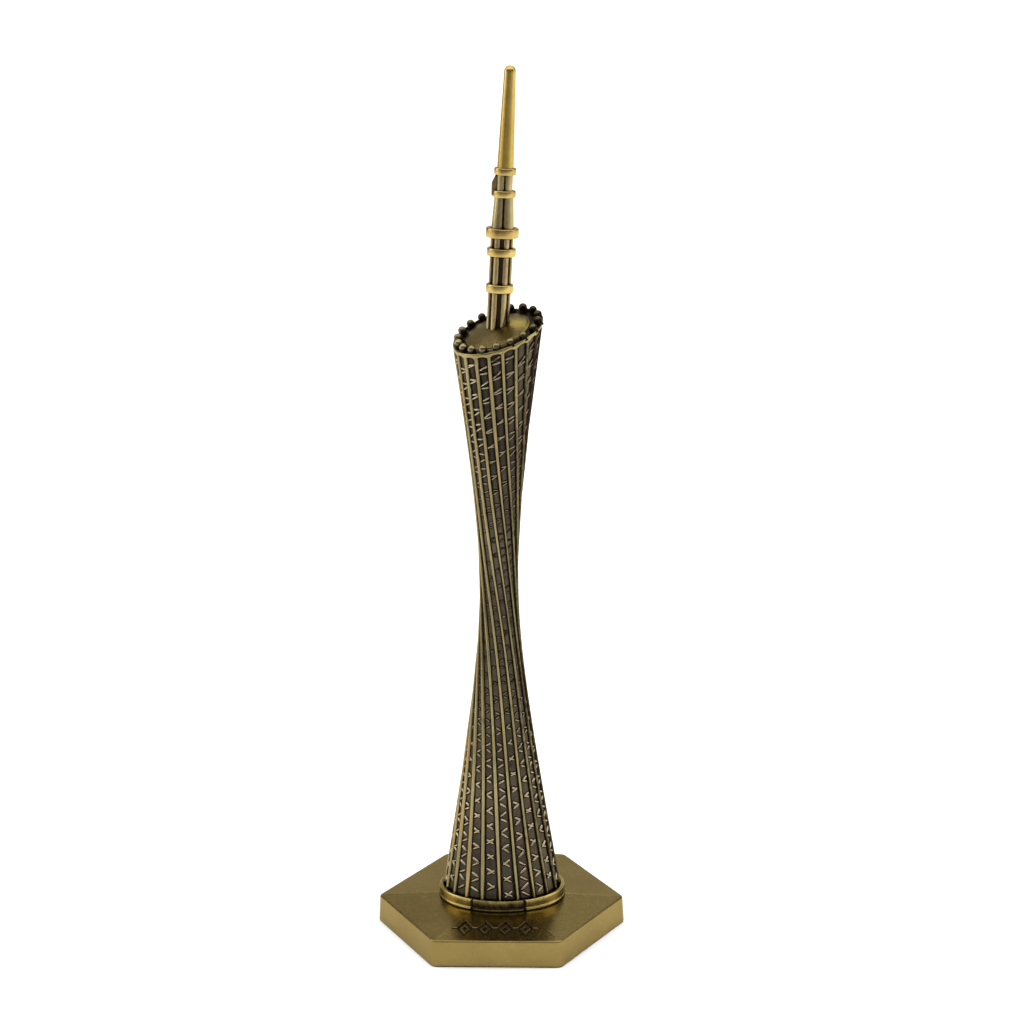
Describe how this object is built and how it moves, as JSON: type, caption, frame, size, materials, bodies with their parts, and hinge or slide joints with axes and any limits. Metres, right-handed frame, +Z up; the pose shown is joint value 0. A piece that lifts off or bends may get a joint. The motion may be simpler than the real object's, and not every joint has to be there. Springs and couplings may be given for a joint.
{
  "type": "souvenir figurine",
  "caption": "Metal model of a twisted, waisted tower with raised ribs, a beaded sloping crown and a banded mast, standing on a hexagonal base.",
  "frame": {"origin": "centre of the flat underside of the hexagonal base, on the surface it stands on", "axes": "+Z up along the tower, -Y towards the front, X towards two opposite corners of the hexagon; the mast leans towards +X"},
  "size_m": [0.0522, 0.0456, 0.1799],
  "materials": {
    "base_brass": "antique brass plating, satin, brown tone",
    "bright_brass": "antique brass plating, rubbed bright",
    "rib_brass": "antique brass plating, rubbed on the crests, dark in the grooves",
    "dark_brass": "antique brass plating with dark patina left in the recesses",
    "pad_felt": "black felt",
    "fastener_steel": "zinc plated"
  },
  "bodies": {
    "root": {"base_shell": "base_brass", "base_pad": "pad_felt", "base_screw": "fastener_steel", "screw_washer": "fastener_steel", "foot_ring": "bright_brass", "tower_core": "dark_brass", "tower_ribs": "rib_brass", "crown_rim": "rib_brass", "roof_plate": "base_brass", "crown_beads": "dark_brass", "mast_lower_stem": "rib_brass", "mast_lower_band": "bright_brass", "mast_middle_band": "bright_brass", "mast_main_band": "bright_brass", "mast_upper_stem": "rib_brass", "mast_upper_band": "bright_brass", "mast_top_stem": "rib_brass", "mast_side_box": "dark_brass", "mast_top_band": "bright_brass", "mast_spike": "bright_brass"}
  },
  "joints": []
}
